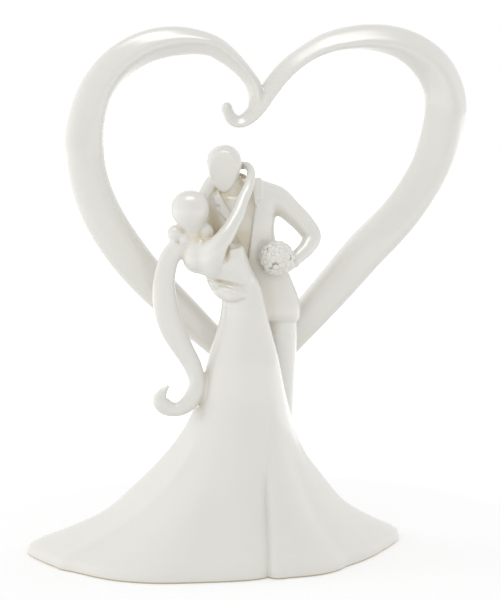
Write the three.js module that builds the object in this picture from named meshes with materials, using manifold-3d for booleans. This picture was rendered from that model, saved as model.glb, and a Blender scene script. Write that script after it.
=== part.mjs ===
// Wedding cake topper: a faceless porcelain couple in front of an open heart.
// Millimetres, +Z up, the viewer stands at -Y. Every piece is trimmed by the pieces luted
// before it, so that a joint line of the same width runs between all of them.
import * as THREE from "three";
import { mergeVertices } from "three/addons/utils/BufferGeometryUtils.js";
import Module from "manifold-3d";

const wasm = await Module();
wasm.setup();

// Driving dimensions
const jointGap = 0.3;
const footLength = 119.7;
const footDepth = 56.4;
const heartSpan = 114.7;
const heartRise = 108;
const heartFootDrop = 19;
const groomAside = 7.3;
const groomSetback = 11.5;
const hipDrop = 7;
const waistHeight = 80;
const waistHalfWidth = 6.7;
const waistHalfDepth = 6.0;
const rimHeight = 2.6;
const rimRound = 0.8;
const skirtWall = 2.8;
const hollowHeight = 62;
const ventRadius = 5;
const foldDepth = 1.3;
const brideHeadLength = 13.2;
const brideHeadHalfWidth = 5.7;
const groomHeadLength = 14.8;
const groomHeadHalfWidth = 5.35;
const knotRadius = 2.6;
const tailHalfDepth = 2.2;
const lapelThickness = 1.0;
const shirtSetback = 0.5;
const shirtThickness = 0.8;
const recessDepth = shirtSetback + shirtThickness + jointGap;
const legHalfDepth = 5.6;
const heartHalfDepth = 5.6;
const heartSeat = 0.6;
const heartFullWidth = 3.7;
const moundRadius = 4.7;
const blossomRadius = 2.1;
const blossomHeight = 1.7;
const blossomCount = 12;

// Anchors: the bride stands on the waist, the groom behind it and the heart on his legs
const waist = new THREE.Vector3(-2.8, -6, waistHeight);
const hip = waist.clone().add(new THREE.Vector3(groomAside, groomSetback, -hipDrop));
const heartSetback = legHalfDepth + heartHalfDepth - heartSeat;
const heartFoot = hip.clone().add(new THREE.Vector3(-1, heartSetback, -heartFootDrop));

// Hem of the skirt in plan, counter-clockwise from the right tip. The foot's length and depth set its scale.
const hemPoints = [
  [50.3, 13.3], [33, 22.5], [10, 26.5], [-17, 27.5], [-43, 25.5], [-60, 20], [-69.4, 11.6],
  [-65.5, -0.5], [-55.5, -14.1], [-45, -23], [-33, -27.8], [-17, -28.9], [2, -28.4], [18, -26],
  [29, -18], [41, -5],
];

// Flare of the skirt: share of the way from waist to hem, against share of the waist height
const skirtFlare = [
  [0.84, 0.088], [0.62, 0.178], [0.45, 0.288], [0.3, 0.408], [0.19, 0.525], [0.125, 0.64],
  [0.07, 0.8], [0.02, 0.94],
];

// Folds of the skirt: direction in plan in degrees, spread in degrees, share of foldDepth
const skirtFolds = [
  [-79, 5, -1.2], [-68, 6, 0.9], [-44, 9, -0.8], [-150, 12, -0.7], [-170, 8, 0.6], [-110, 14, 0.5],
  [60, 14, -0.6], [100, 14, -0.6], [140, 10, -0.5],
];

// Sections from here on: x, y and z from the anchor, half width, and half depth where it differs
const bodiceRows = [
  [0.2, 0, -3, waistHalfWidth, waistHalfDepth], [0, 0, 0, waistHalfWidth, waistHalfDepth],
  [-1.5, -0.4, 6, 5.7, 5.4], [-3.6, -0.8, 10.4, 6.1, 5.8], [-6.3, -1, 14.9, 7.1, 6.6],
];
const chestRows = [
  [-4.6, -1, 12.8, 5, 5.2], [-7.1, -1, 15, 5.9, 5.9], [-10.5, -1, 16.2, 5.2, 6], [-13.4, -1, 17.4, 4.6, 5],
];
const brideNeckRows = [
  [-13.6, -1, 17.4, 3.4], [-14.4, -1, 20.8, 3.1], [-15, -1, 24.2, 2.9], [-15.5, -1.1, 26.4, 2.8],
];
const brideChin = [-14.8, -1, 23.2];
const brideHeadLean = [-3, -0.5, 12.8];
const brideLeftArmRows = [
  [-10.4, -2.4, 16.6, 3.4], [-8.6, -4.2, 18.2, 3.9], [-6.1, -5.4, 20.9, 3.9], [-3.2, -4.5, 25.6, 2.95],
  [-0.5, -2, 30.5, 2.35], [1.9, 1.5, 35.4, 2.05], [3.3, 5.7, 39.4, 1.95], [2.2, 9.4, 41.8, 1.9],
  [-0.8, 11.8, 42.2, 1.7], [-3.6, 12.4, 41.4, 1.3],
];
const brideRightArmRows = [
  [-10.8, 2, 17.8, 2.4], [-10.9, 4.6, 20.9, 2.3], [-12.4, 7, 25.4, 2.2], [-12.4, 8.2, 30.5, 2.15],
  [-10.4, 8.8, 34.2, 2.05], [-7.4, 10.6, 37, 1.9], [-4.6, 12.6, 38, 1.5],
];
const upperKnot = [-20.8, -0.4, 23.1];
const lowerKnot = [-17.9, -0.6, 21.4];
const tailRows = [
  [-19.8, -0.4, 20, 2.6], [-21.1, -0.2, 17.8, 3], [-22.9, 0, 14.9, 3.05], [-24.4, 0, 8, 3.3],
  [-24.2, 0, 2.5, 3.7], [-23.1, 0, -3, 3.85], [-21.1, 0, -8, 3.7], [-18.5, 0, -13, 3.15],
  [-16.2, 0, -18, 2.6], [-15, -0.4, -22.6, 2.3], [-15.5, -0.8, -26, 2.2], [-17.6, -1.1, -29.4, 2.3],
  [-21.3, -1.3, -30.7, 2.6], [-24.1, -1.3, -28.7, 2.8], [-25.9, -1.3, -26.1, 4],
];
const jacketRows = [
  [0.1, 0, 0, 11.6, 7.4], [0.4, 0, 4, 11.7, 7.4], [-1, -0.1, 11, 10.6, 7], [-3.9, -0.3, 19, 9.6, 6.5],
  [-5.9, -0.5, 27, 10, 6.5], [-6.8, -0.7, 33, 10.9, 6.5], [-7.5, -0.9, 38, 11, 6],
  [-7.9, -1, 41.6, 10.2, 5.2], [-8.3, -1, 44.2, 7.4, 4],
];
const groomNeckRows = [[-8.4, -1.8, 34, 3.3], [-8.9, -2.2, 40, 3.1], [-10, -2.6, 45.5, 2.9]];
const groomChin = [-12.1, -4.1, 41.2];
const groomHeadLean = [0.3, 1.6, 14.8];
const leftSleeveRows = [
  [-2, -0.7, 40, 3.8], [3.7, -0.5, 39.3, 4.1], [9.1, -0.1, 34.9, 3.6], [13.5, -0.1, 30.4, 3.3],
  [15.5, -0.9, 27, 3.05], [13.8, -2.9, 24, 2.6], [10.8, -4.9, 21.6, 2.3], [8.5, -6.3, 20, 2.25],
];
const leftHandRows = [[9.1, -6.1, 20.3, 1.6], [6.7, -7.5, 18.9, 1.9], [4.1, -8.9, 18.6, 1.7]];
const rightSleeveRows = [
  [-13.5, -0.9, 38.5, 3.8], [-17.1, -1.1, 34.6, 3.7], [-18.7, -2.3, 28, 3.3], [-18.1, -4.9, 22, 2.9],
  [-17.1, -7.9, 17.6, 2.5],
];
const rightHandRows = [
  [-17.5, -7.5, 18, 1.9], [-16.7, -11.5, 15.2, 2.2], [-14.7, -15.5, 13, 2.5], [-11.1, -17.9, 12.2, 2.3],
  [-7.7, -18.1, 13, 1.5],
];
const leftLegRows = [
  [4.9, 0.1, 3, 6.1, 5.9], [5, 0.2, -5, 6.1, 5.9], [4.9, 0.2, -18, 5.5, legHalfDepth],
  [4.5, 0.2, -33, 5.2, 5.4], [3.9, 0.2, -58, 5, 5.2],
];
const rightLegRows = [
  [-5.2, 0.1, 3, 5.4, 5.7], [-5.9, 0.2, -5, 5.4, 5.7], [-6.9, 0.2, -18, 5.2, legHalfDepth],
  [-7.3, 0.2, -33, 5, 5.2], [-7.9, 0.2, -58, 4.8, 5],
];
const moundCentre = [3, -9.1, 20.4];

// Outlines on the front of the jacket: x and z from the hip, clockwise
const shirtOutline = [
  [-13.6, 41.8], [-5.6, 43.2], [-3.5, 37], [-5.2, 24], [-7.6, 18], [-9.4, 24], [-13.5, 38],
];
const leftLapelOutline = [
  [-5.2, 45.2], [-1.2, 43], [-0.6, 38], [-1.6, 37], [0, 35.6], [-5.2, 22], [-4, 37],
];
const rightLapelOutline = [
  [-12.4, 44], [-15.6, 40.4], [-15.2, 37.6], [-16.4, 36], [-9.2, 23.4], [-13.2, 37.4],
];

// Heart halves in their plane: x and z of the band's middle from the heart's foot, half width of the band.
// The heart's span and rise between the middles of the band set their scale.
const heartLeftRows = [
  [0, -1, 3.9], [-6.1, 5.4, 4], [-13.3, 12.2, 4.4], [-22.6, 21.1, 5.3], [-33.1, 31.5, 6],
  [-42.1, 42.8, 6.4], [-48.5, 53.7, 6.4], [-52, 63.8, 6.2], [-53.2, 74.2, 6.05], [-51.4, 84.9, 5.8],
  [-47.9, 92.8, 5.6], [-41.7, 99.8, 5.4], [-33.4, 104.4, 5.1], [-24, 106.1, 4.6], [-14, 104.9, 3.5],
  [-8.8, 102.5, 2.9], [-4.1, 99.3, 2.5], [-0.8, 95.7, 2.5], [1, 92.4, 2.2], [1.7, 88.6, 1.4],
];
const heartRightRows = [
  [0, -1, 3.9], [5.9, 5.6, 4.2], [11.7, 12.6, 4.8], [18.3, 20, 5.4], [27.3, 30, 5.9], [36.5, 40.4, 6.2],
  [45.9, 49.9, 6.4], [53.8, 60.5, 6.6], [58.6, 70, 6.8], [61.5, 83.7, 6.7], [60.5, 91, 6.4],
  [57, 97.6, 6], [51.3, 102.8, 5.3], [44.7, 105.8, 4.7], [36.7, 107, 4.2], [29.5, 106.6, 3.8],
  [22.7, 105, 3.4], [16.5, 101.9, 3], [11.8, 98.5, 2.85], [7.8, 94.5, 2.7], [4.8, 90.6, 2.6],
  [1.9, 86.4, 2.4], [-1.1, 82.7, 1.9], [-4.3, 80.8, 1.65], [-7, 81.6, 1.6], [-8.3, 84.3, 1.35],
];

const up = new THREE.Vector3(0, 0, 1);
const back = new THREE.Vector3(0, 1, 0);
const fullTurn = Math.PI * 2;
const domeRings = 3;
const plateStart = 2;
const weldLength = 0.03;

// A closed surface through rings of points, shut by a fan at either end
function skin(rings, startApex, endApex) {
  const sides = rings[0].length;
  const points = [...rings.flat(), startApex, endApex];
  const start = points.length - 2;
  const end = points.length - 1;
  const triangles = [];
  for (let ring = 0; ring < rings.length; ring += 1) {
    for (let side = 0; side < sides; side += 1) {
      const next = (side + 1) % sides;
      const here = ring * sides;
      const above = here + sides;
      if (ring === 0) {
        triangles.push(start, here + next, here + side);
      }
      if (ring === rings.length - 1) {
        triangles.push(end, here + side, here + next);
      } else {
        triangles.push(here + side, here + next, above + next, here + side, above + next, above + side);
      }
    }
  }
  const geometry = new THREE.BufferGeometry().setFromPoints(points);
  geometry.setIndex(triangles);
  return geometry;
}

function superellipse(centre, wide, deep, halfWidth, halfDepth, sides, power) {
  const ring = [];
  for (let side = 0; side < sides; side += 1) {
    const angle = (fullTurn * side) / sides;
    const across = Math.sign(Math.cos(angle)) * Math.abs(Math.cos(angle)) ** (2 / power);
    const along = Math.sign(Math.sin(angle)) * Math.abs(Math.sin(angle)) ** (2 / power);
    const point = centre.clone().addScaledVector(wide, halfWidth * across);
    ring.push(point.addScaledVector(deep, halfDepth * along));
  }
  return ring;
}

// A skin through sections along a smooth path. Ends are flat where their round is 0.
function loft(anchor, rows, options, grow = 0) {
  const { sides = 14, perSpan = 2, power = 2, rounds = [0, 0], depthAxis = back } = options;
  const path = new THREE.CatmullRomCurve3(rows.map(([x, y, z]) => new THREE.Vector3(x, y, z).add(anchor)));
  const halfSizes = rows.map(([, , , width, depth = width]) => new THREE.Vector3(width, depth, 0));
  const sizes = new THREE.CatmullRomCurve3(halfSizes);
  const spans = (rows.length - 1) * perSpan;
  const frames = path.computeFrenetFrames(spans, false);
  const stations = [];
  for (let step = 0; step <= spans; step += 1) {
    const share = step / spans;
    const tangent = path.getTangent(share);
    const centre = path.getPoint(share);
    const size = sizes.getPoint(share);
    const deep = depthAxis
      ? depthAxis.clone().addScaledVector(tangent, -tangent.dot(depthAxis)).normalize()
      : frames.normals[step].clone();
    stations.push({ centre, tangent, deep, halfWidth: size.x + grow, halfDepth: size.y + grow });
  }
  const first = stations[0];
  const last = stations[stations.length - 1];
  const rings = [];
  const addRing = (station, shift, scale) => {
    const wide = new THREE.Vector3().crossVectors(station.deep, station.tangent);
    const centre = station.centre.clone().addScaledVector(station.tangent, shift);
    const halfWidth = station.halfWidth * scale;
    const halfDepth = station.halfDepth * scale;
    rings.push(superellipse(centre, wide, station.deep, halfWidth, halfDepth, sides, power));
  };
  const [startRound, endRound] = rounds.map((round) => round + Math.max(grow, 0));
  for (let ring = rounds[0] > 0 ? domeRings : 0; ring > 0; ring -= 1) {
    const angle = (ring / (domeRings + 1)) * (Math.PI / 2);
    addRing(first, -startRound * Math.sin(angle), Math.cos(angle));
  }
  stations.forEach((station) => {
    const flatStart = station === first && rounds[0] === 0 ? startRound : 0;
    const flatEnd = station === last && rounds[1] === 0 ? endRound : 0;
    addRing(station, flatEnd - flatStart, 1);
  });
  for (let ring = 1; ring <= (rounds[1] > 0 ? domeRings : 0); ring += 1) {
    const angle = (ring / (domeRings + 1)) * (Math.PI / 2);
    addRing(last, endRound * Math.sin(angle), Math.cos(angle));
  }
  const startApex = first.centre.clone().addScaledVector(first.tangent, -startRound);
  const endApex = last.centre.clone().addScaledVector(last.tangent, endRound);
  return skin(rings, startApex, endApex);
}

// An egg along an axis, widest past its middle
function egg(anchor, base, lean, options, grow) {
  const { length, halfWidth, depthShare, sides = 16, rings = 8, fullness = 0.16 } = options;
  const axis = new THREE.Vector3(...lean).normalize();
  const foot = new THREE.Vector3(...base).add(anchor).addScaledVector(axis, -grow);
  const deep = back.clone().addScaledVector(axis, -axis.dot(back)).normalize();
  const wide = new THREE.Vector3().crossVectors(deep, axis);
  const span = length + 2 * grow;
  const loops = [];
  for (let ring = 1; ring <= rings; ring += 1) {
    const angle = (Math.PI * ring) / (rings + 1);
    const swell = Math.sin(angle) * (1 - fullness * Math.cos(angle));
    const centre = foot.clone().addScaledVector(axis, (span * (1 - Math.cos(angle))) / 2);
    const width = (halfWidth + grow) * swell;
    loops.push(superellipse(centre, wide, deep, width, width * depthShare, sides, 2));
  }
  return skin(loops, foot, foot.clone().addScaledVector(axis, span));
}

function foldAt(angle) {
  let depth = 0;
  for (const [at, spread, share] of skirtFolds) {
    const away = Math.atan2(Math.sin(angle - THREE.MathUtils.degToRad(at)),
      Math.cos(angle - THREE.MathUtils.degToRad(at)));
    depth += share * foldDepth * Math.exp(-((THREE.MathUtils.radToDeg(away) / spread) ** 2));
  }
  return depth;
}

const extentOf = (rows, column) => {
  const values = rows.map((row) => row[column]);
  return Math.max(...values) - Math.min(...values);
};
const lengthScale = footLength / extentOf(hemPoints, 0);
const depthScale = footDepth / extentOf(hemPoints, 1);
const hemCorners = hemPoints.map(([x, y]) => new THREE.Vector3(
  waist.x + (x - waist.x) * lengthScale, waist.y + (y - waist.y) * depthScale, 0,
));
const hemCurve = new THREE.CatmullRomCurve3(hemCorners, true);
const skirtProfile = new THREE.CatmullRomCurve3([
  new THREE.Vector3(1, rimHeight, 0),
  ...skirtFlare.map(([reach, height]) => new THREE.Vector3(reach, height * waistHeight, 0)),
  new THREE.Vector3(0, waistHeight, 0),
]);

const onAxis = (height) => new THREE.Vector3(waist.x, waist.y, height);

// One level of the skirt: reach runs from 0 at the waist to 1 at the hem
function skirtRing(sides, reach, height, grow) {
  return hemCurve.getSpacedPoints(sides).slice(0, sides).map((point) => {
    const far = new THREE.Vector2(point.x - waist.x, point.y - waist.y);
    const angle = far.angle();
    const out = new THREE.Vector2(waistHalfWidth * Math.cos(angle), waistHalfDepth * Math.sin(angle));
    out.lerp(far, reach);
    out.setLength(out.length() + grow + foldAt(angle) * Math.sqrt(Math.max(reach, 0)));
    return new THREE.Vector3(waist.x + out.x, waist.y + out.y, height);
  });
}

function skirtOutside(grow) {
  const sides = 48;
  const levels = skirtProfile.getPoints(2 * (skirtFlare.length + 1));
  const rings = [
    skirtRing(sides, 1, 0, grow - rimRound),
    skirtRing(sides, 1, rimRound, grow),
    ...levels.map((level) => skirtRing(sides, level.x, level.y, grow)),
  ];
  const lid = levels[levels.length - 1].y + grow;
  rings.push(skirtRing(sides, 0, lid, grow));
  return skin(grow > 0 ? rings : rings.slice(0, -1), onAxis(0), onAxis(lid));
}

// The hollow lies a wall below and inside the outer surface, on a floor of the same thickness
function skirtHollow() {
  const levels = skirtProfile.getPoints(skirtFlare.length + 1)
    .filter((level) => level.y > 2 * skirtWall && level.y < hollowHeight);
  const rings = levels.map((level) => skirtRing(28, level.x, level.y - skirtWall, -skirtWall));
  const floor = levels[0].y - skirtWall;
  const ceiling = levels[levels.length - 1].y - skirtWall;
  return skin(rings, onAxis(floor), onAxis(ceiling));
}

// A domed five-petalled flower that stands on its centre and faces along its axis
function blossom(centre, axis, grow) {
  const deep = up.clone().addScaledVector(axis, -axis.dot(up)).normalize();
  const wide = new THREE.Vector3().crossVectors(deep, axis);
  const radius = blossomRadius + grow;
  const sides = 15;
  const levels = [
    [0.55, -0.5 * blossomHeight - grow],
    [1, 0.1 * blossomHeight],
    [0.62, 0.5 * blossomHeight + grow],
  ];
  const rings = levels.map(([share, height]) => {
    const ring = [];
    for (let side = 0; side < sides; side += 1) {
      const angle = (fullTurn * side) / sides;
      const reach = radius * share * (0.88 + 0.12 * Math.cos(5 * angle));
      ring.push(centre.clone().addScaledVector(axis, height)
        .addScaledVector(wide, reach * Math.cos(angle)).addScaledVector(deep, reach * Math.sin(angle)));
    }
    return ring;
  });
  return skin(rings, centre.clone().addScaledVector(axis, -0.5 * blossomHeight - grow),
    centre.clone().addScaledVector(axis, 0.25 * blossomHeight + grow));
}

function solidOf(geometry) {
  const bare = new THREE.BufferGeometry();
  bare.setAttribute("position", geometry.getAttribute("position"));
  bare.setIndex(geometry.getIndex());
  const merged = mergeVertices(bare, 1e-4);
  return new wasm.Manifold(new wasm.Mesh({
    numProp: 3,
    vertProperties: new Float32Array(merged.getAttribute("position").array),
    triVerts: new Uint32Array(merged.getIndex().array),
  }));
}

function geometryOf(solid) {
  const mesh = solid.getMesh();
  const geometry = new THREE.BufferGeometry();
  geometry.setAttribute("position", new THREE.BufferAttribute(mesh.vertProperties, 3));
  geometry.setIndex(new THREE.BufferAttribute(mesh.triVerts, 1));
  geometry.computeVertexNormals();
  return geometry;
}

function sphere(anchor, offset, radius, grow) {
  const geometry = new THREE.SphereGeometry(radius + grow, 14, 8).rotateX(Math.PI / 2);
  return geometry.translate(...offset).translate(anchor.x, anchor.y, anchor.z);
}

// A plate with one of those outlines, drawn in by inset, that stands in front of the jacket's middle
function frontPlate(outline, inset = 0) {
  const corners = outline.map(([x, z]) => new THREE.Vector2(x, z));
  const inward = corners.map((corner, index) => {
    const edge = corners[(index + 1) % corners.length].clone().sub(corner).normalize();
    return new THREE.Vector2(edge.y, -edge.x);
  });
  const shape = new THREE.Shape(corners.map((corner, index) => {
    const before = inward[(index + corners.length - 1) % corners.length];
    const after = inward[index];
    return corner.clone().addScaledVector(before.clone().add(after), inset / (1 + before.dot(after)));
  }));
  const depth = groomSetback + waistHalfDepth;
  const plate = new THREE.ExtrudeGeometry(shape, { depth, bevelEnabled: false });
  plate.rotateX(Math.PI / 2).translate(hip.x, hip.y - plateStart, hip.z);
  return solidOf(plate);
}

const glaze = new THREE.MeshStandardMaterial({ color: 0xe9e6df, roughness: 0.12, metalness: 0 });
const topper = new THREE.Group();
topper.name = "wedding_cake_topper";
const placed = [];

function largestBody(solid) {
  const bodies = solid.decompose();
  return bodies.reduce((best, body) => (body.volume() > best.volume() ? body : best), bodies[0]);
}

function boxesMeet(first, second) {
  const meetAlong = (axis) => first.min[axis] <= second.max[axis] && second.min[axis] <= first.max[axis];
  return [0, 1, 2].every(meetAlong);
}

// Adds a piece, cut back from every piece placed before it. make(grow) gives its solid, grown.
function place(name, make) {
  let solid = make(0);
  for (const neighbour of placed) {
    if (boxesMeet(solid.boundingBox(), neighbour.boundingBox())) {
      solid = solid.subtract(neighbour);
    }
  }
  const mesh = new THREE.Mesh(geometryOf(largestBody(solid.simplify(weldLength))), glaze);
  mesh.name = name;
  topper.add(mesh);
  placed.push(make(jointGap));
}

function placeLoft(name, anchor, rows, options) {
  place(name, (grow) => solidOf(loft(anchor, rows, options, grow)));
}

// Gown and bride
place("gown_skirt", (grow) => {
  const outside = solidOf(skirtOutside(grow));
  if (grow > 0) {
    return outside;
  }
  const vent = new THREE.CylinderGeometry(ventRadius, ventRadius, waistHeight / 2, 24).rotateX(Math.PI / 2);
  vent.translate(waist.x, waist.y, 0);
  return outside.subtract(solidOf(skirtHollow())).subtract(solidOf(vent));
});
placeLoft("gown_bodice", waist, bodiceRows, { sides: 24 });
place("bride_chest", (grow) => {
  const chest = solidOf(loft(waist, chestRows, { sides: 18, rounds: [0, 3.6] }, grow));
  return chest.add(solidOf(loft(waist, brideNeckRows, { sides: 16 }, grow)));
});
const brideHead = { length: brideHeadLength, halfWidth: brideHeadHalfWidth, depthShare: 0.95 };
place("bride_head", (grow) => solidOf(egg(waist, brideChin, brideHeadLean, brideHead, grow)));
placeLoft("bride_left_arm", waist, brideLeftArmRows, { sides: 12, rounds: [0, 1.3], depthAxis: null });
placeLoft("bride_right_arm", waist, brideRightArmRows, { sides: 12, rounds: [0, 1.5], depthAxis: null });
place("hair_knot_upper", (grow) => solidOf(sphere(waist, upperKnot, knotRadius, grow)));
place("hair_knot_lower", (grow) => solidOf(sphere(waist, lowerKnot, knotRadius, grow)));
placeLoft("ponytail", waist, tailRows.map((row) => [...row, tailHalfDepth]),
  { sides: 12, perSpan: 2, power: 2.4, rounds: [0, 0.6] });

// Groom
placeLoft("groom_neck", hip, groomNeckRows, { sides: 16 });
const groomHead = { length: groomHeadLength, halfWidth: groomHeadHalfWidth, depthShare: 1.1 };
place("groom_head", (grow) => solidOf(egg(hip, groomChin, groomHeadLean, groomHead, grow)));
const jacketShape = { sides: 24, perSpan: 2, power: 2.3 };
const jacketSolid = (grow) => solidOf(loft(hip, jacketRows, jacketShape, grow));
place("jacket", (grow) => {
  const recess = frontPlate(shirtOutline, grow).subtract(jacketSolid(grow - recessDepth));
  return jacketSolid(grow).subtract(recess);
});
place("shirt_front", (grow) => jacketSolid(grow - shirtSetback).intersect(frontPlate(shirtOutline)));
place("lapel_left", (grow) => jacketSolid(lapelThickness + grow).intersect(frontPlate(leftLapelOutline)));
place("lapel_right", (grow) => jacketSolid(lapelThickness + grow).intersect(frontPlate(rightLapelOutline)));
placeLoft("left_sleeve", hip, leftSleeveRows, { sides: 14, depthAxis: null });
placeLoft("left_hand", hip, leftHandRows, { sides: 12, rounds: [0, 1.7], depthAxis: null });
placeLoft("right_sleeve", hip, rightSleeveRows, { sides: 14, depthAxis: null });
placeLoft("right_hand", hip, rightHandRows, { sides: 12, rounds: [0, 1.5], depthAxis: null });
placeLoft("trouser_leg_left", hip, leftLegRows, { sides: 16 });
placeLoft("trouser_leg_right", hip, rightLegRows, { sides: 16 });

// Bouquet
const moundMiddle = new THREE.Vector3(...moundCentre).add(hip);
place("bouquet_core", (grow) => solidOf(sphere(hip, moundCentre, moundRadius, grow)));
const goldenAngle = Math.PI * (3 - Math.sqrt(5));
for (let index = 0; index < blossomCount; index += 1) {
  const toFront = 1 - (1.1 * (index + 0.5)) / blossomCount;
  const ringRadius = Math.sqrt(1 - toFront * toFront);
  const turn = goldenAngle * index;
  const axis = new THREE.Vector3(ringRadius * Math.cos(turn), -toFront, ringRadius * Math.sin(turn));
  const centre = moundMiddle.clone().addScaledVector(axis, moundRadius + jointGap);
  place(`blossom_${String(index + 1).padStart(2, "0")}`, (grow) => solidOf(blossom(centre, axis, grow)));
}

// Heart
const spanScale = heartSpan / extentOf([...heartLeftRows, ...heartRightRows], 0);
const riseScale = heartRise / extentOf([...heartLeftRows, ...heartRightRows], 1);
const bandRows = (rows) => rows.map(([x, z, halfWidth]) => [
  x * spanScale, 0, z * riseScale, halfWidth,
  heartHalfDepth * Math.min(1, halfWidth / heartFullWidth),
]);
const bandShape = { sides: 14, perSpan: 2, power: 2.8, rounds: [3, 1.4] };
placeLoft("heart_right", heartFoot, bandRows(heartRightRows), bandShape);
placeLoft("heart_left", heartFoot, bandRows(heartLeftRows), bandShape);

// The origin is the middle of the underside of the whole
const extent = new THREE.Box3().setFromObject(topper);
const middle = extent.getCenter(new THREE.Vector3());
topper.children.forEach((mesh) => mesh.geometry.translate(-middle.x, -middle.y, -extent.min.z));

export default topper;
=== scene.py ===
import math

import bpy
import numpy as np
import openvdb
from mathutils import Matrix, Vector


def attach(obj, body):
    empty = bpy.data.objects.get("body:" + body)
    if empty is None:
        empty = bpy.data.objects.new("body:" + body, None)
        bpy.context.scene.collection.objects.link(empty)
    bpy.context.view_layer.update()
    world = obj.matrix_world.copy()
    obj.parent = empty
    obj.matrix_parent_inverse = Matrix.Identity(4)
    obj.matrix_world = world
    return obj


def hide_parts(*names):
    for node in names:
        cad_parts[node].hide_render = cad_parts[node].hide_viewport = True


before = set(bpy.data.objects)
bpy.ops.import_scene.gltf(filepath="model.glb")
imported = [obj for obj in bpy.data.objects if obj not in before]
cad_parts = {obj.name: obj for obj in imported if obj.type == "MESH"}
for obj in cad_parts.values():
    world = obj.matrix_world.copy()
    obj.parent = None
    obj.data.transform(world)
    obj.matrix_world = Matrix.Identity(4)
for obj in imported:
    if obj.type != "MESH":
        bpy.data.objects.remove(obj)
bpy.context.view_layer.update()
scene = bpy.context.scene
mm = 0.001

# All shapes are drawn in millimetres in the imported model's frame, on the same three anchors as the solids
waist = np.array((-4.11, -4.88, 80.0))
hip = waist + (7.3, 11.5, -7.0)
heartFoot = hip + (-1.0, 10.6, -19.0)
up = np.array((0.0, 0.0, 1.0))
back = np.array((0.0, 1.0, 0.0))


def unit(vector):
    return vector / np.linalg.norm(vector, axis=-1, keepdims=True)


def throughRows(rows, perSpan, closed=False):  # a centripetal curve through rows of x, y, z and anything else
    rows = np.asarray(rows, float)
    if closed:
        padded = np.vstack((rows[-1:], rows, rows[:2]))
    else:
        padded = np.vstack((2 * rows[0] - rows[1], rows, 2 * rows[-1] - rows[-2]))
    share = np.linspace(0, 1, perSpan, endpoint=False)[:, None]
    spans = []
    for p0, p1, p2, p3 in zip(padded, padded[1:], padded[2:], padded[3:]):
        t0, t1, t2 = (max(np.linalg.norm((b - a)[:3]), 1e-6) ** 0.5
                      for a, b in ((p0, p1), (p1, p2), (p2, p3)))
        m1 = t1 * ((p1 - p0) / t0 - (p2 - p0) / (t0 + t1) + (p2 - p1) / t1)
        m2 = t1 * ((p2 - p1) / t1 - (p3 - p1) / (t1 + t2) + (p3 - p2) / t2)
        spans.append((2 * share**3 - 3 * share**2 + 1) * p1 + (share**3 - 2 * share**2 + share) * m1
                     + (3 * share**2 - 2 * share**3) * p2 + (share**3 - share**2) * m2)
    return np.vstack(spans if closed else spans + [rows[-1:]])


def skinRings(rings, startApex, endApex):  # points, quads and end triangles of a closed skin, facing outwards
    count, sides = len(rings), len(rings[0])
    points = np.vstack((np.reshape(rings, (-1, 3)), startApex, endApex))
    side = np.arange(sides)
    after = (side + 1) % sides
    quads = [np.stack((ring * sides + side, ring * sides + after, (ring + 1) * sides + after,
                       (ring + 1) * sides + side), 1) for ring in range(count - 1)]
    last = (count - 1) * sides
    start = np.stack((np.full(sides, count * sides), after, side), 1)
    end = np.stack((np.full(sides, count * sides + 1), last + side, last + after), 1)
    return points, np.vstack(quads), np.vstack((start, end))


ellipse = 2.0  # power of a loft's section; a higher one is squarer


def loftRings(anchor, rows, angle, power=ellipse, rounds=(0, 0), perSpan=8):
    # rows: x, y, z from the anchor and half width, then half depth if it differs, then twist in degrees
    full = [list(row) + [row[3]] * (len(row) == 4) + [0] * (len(row) < 6) for row in rows]
    flat = len(rows[0]) > 4  # such a section keeps its depth towards the back
    line = throughRows(full, perSpan)
    centres = line[:, :3] + anchor
    tangents = unit(np.gradient(centres, axis=0))
    deep = back if flat else unit(np.cross(tangents[0], (0.31, 0.9, 0.2)))
    across, along = (np.sign(way) * np.abs(way) ** (2 / power) for way in (np.cos(angle), np.sin(angle)))

    def ring(station, shift, scale):  # the twist turns the section, and its width and depth stay as given
        centre, tangent, toBack, width, depth, twist = station
        turn = -math.radians(twist)
        wideWay = across * width * math.cos(turn) - along * depth * math.sin(turn)
        deepWay = across * width * math.sin(turn) + along * depth * math.cos(turn)
        wideWay = wideWay * (width / np.abs(wideWay).max() * scale)
        deepWay = deepWay * (depth / np.abs(deepWay).max() * scale)
        sideways = np.outer(wideWay, np.cross(toBack, tangent))
        return centre + tangent * shift + sideways + np.outer(deepWay, toBack)

    stations = []
    for centre, tangent, (width, depth, twist) in zip(centres, tangents, line[:, 3:]):
        deep = unit(deep - tangent * np.dot(tangent, deep))
        stations.append((centre, tangent, deep, width, depth, twist))
        if flat:
            deep = back
    domeAngles = np.linspace(0, np.pi / 2, 9)[1:-1]
    first, last = stations[0], stations[-1]
    rings = [ring(first, -rounds[0] * np.sin(a), np.cos(a)) for a in domeAngles[::-1] if rounds[0]]
    rings += [ring(station, 0, 1) for station in stations]
    rings += [ring(last, rounds[1] * np.sin(a), np.cos(a)) for a in domeAngles if rounds[1]]
    return rings, first[0] - first[1] * rounds[0], last[0] + last[1] * rounds[1]


def loft(anchor, rows, sides=48, *section):
    angle = np.linspace(0, 2 * np.pi, sides, endpoint=False)
    return skinRings(*loftRings(anchor, rows, angle, *section))


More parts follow.
